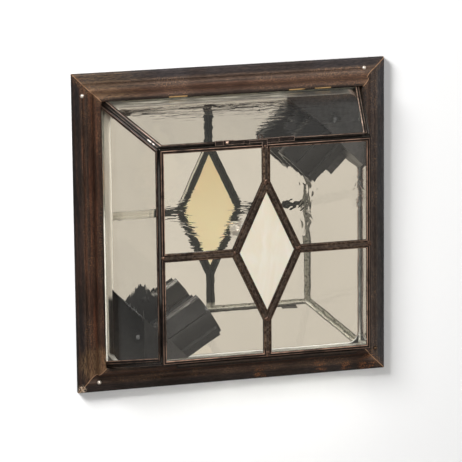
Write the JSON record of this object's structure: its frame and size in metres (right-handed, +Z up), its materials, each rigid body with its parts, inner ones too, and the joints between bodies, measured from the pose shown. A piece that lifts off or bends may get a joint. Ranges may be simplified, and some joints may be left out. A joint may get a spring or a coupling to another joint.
{
  "type": "flush mount ceiling light",
  "caption": "Square flush mount ceiling light: moulded bronze frame, leaded clear-glass box over a mirror, hinged glass door with a white diamond and a latch.",
  "frame": {"origin": "centre of the two crossbar slots, on the ceiling plane that the pan's flange lies against", "axes": "+Z up into the ceiling; the glass box hangs towards -Z; -Y is the latch side, +Y the hinge side of the door"},
  "size_m": [0.3048, 0.3048, 0.1221],
  "materials": {
    "frame_bronze": "dark bronze with copper rub-through",
    "lead_channel": "dark patina",
    "solder": "copper patina",
    "clear_glass": "wavy, clear",
    "opal_glass": "opalescent, cream white",
    "mirror": "polished",
    "pan_steel": "galvanised",
    "zinc_steel": "zinc plated",
    "bright_screw": "bright",
    "phenolic": "moulded, satin",
    "socket_brass": "bright",
    "black_steel": "black, satin",
    "rubber": "matt",
    "ground_green": "green plated",
    "latch_brass": "dark patina with copper edges"
  },
  "bodies": {
    "root": {"bracket_rivets": "zinc_steel", "ceiling_pan": "pan_steel", "centre_contact_1": "socket_brass", "centre_contact_2": "socket_brass", "corner_seams": "solder", "frame_bar_hinge": "frame_bronze", "frame_bar_latch": "frame_bronze", "frame_bar_left": "frame_bronze", "frame_bar_right": "frame_bronze", "frame_screws": "bright_screw", "ground_screw": "ground_green", "hinge_knuckles": "lead_channel", "hinge_rod": "zinc_steel", "lampholder_body_1": "phenolic", "lampholder_body_2": "phenolic", "lampholder_bracket_1": "black_steel", "lampholder_bracket_2": "black_steel", "lampholder_screws": "zinc_steel", "latch_base": "latch_brass", "latch_keeper": "latch_brass", "latch_pivot": "bright_screw", "lead_bushings": "rubber", "mirror_reflector": "mirror", "mounting_strap": "zinc_steel", "nipple": "zinc_steel", "nipple_cap_nut": "zinc_steel", "nipple_locknut": "zinc_steel", "screw_shell_1": "socket_brass", "screw_shell_2": "socket_brass", "side_channel_hinge": "lead_channel", "side_channel_latch": "lead_channel", "side_channel_left": "lead_channel", "side_channel_right": "lead_channel", "side_glass_hinge": "clear_glass", "side_glass_latch": "clear_glass", "side_glass_left": "clear_glass", "side_glass_right": "clear_glass"},
    "door": {"catch_stud": "bright_screw", "diamond_channel": "lead_channel", "diamond_glass": "opal_glass", "door_channel_hinge_left": "lead_channel", "door_channel_hinge_right": "lead_channel", "door_channel_latch_left": "lead_channel", "door_channel_latch_right": "lead_channel", "door_glass_hinge_left": "clear_glass", "door_glass_hinge_right": "clear_glass", "door_glass_latch_left": "clear_glass", "door_glass_latch_right": "clear_glass", "hinge_tube": "lead_channel"},
    "latch": {"latch_arm": "latch_brass", "latch_loop": "latch_brass"}
  },
  "joints": [
    {"name": "door_hinge", "type": "hinge", "parent": "root", "child": "door", "pos_m": [0, 0.1032, -0.1179], "axis": [1, 0, 0], "range_deg": [0, 110]},
    {"name": "latch_swing", "type": "hinge", "parent": "root", "child": "latch", "pos_m": [-0.036, -0.1014, -0.117], "axis": [0, 0, -1], "range_deg": [0, 80]}
  ]
}
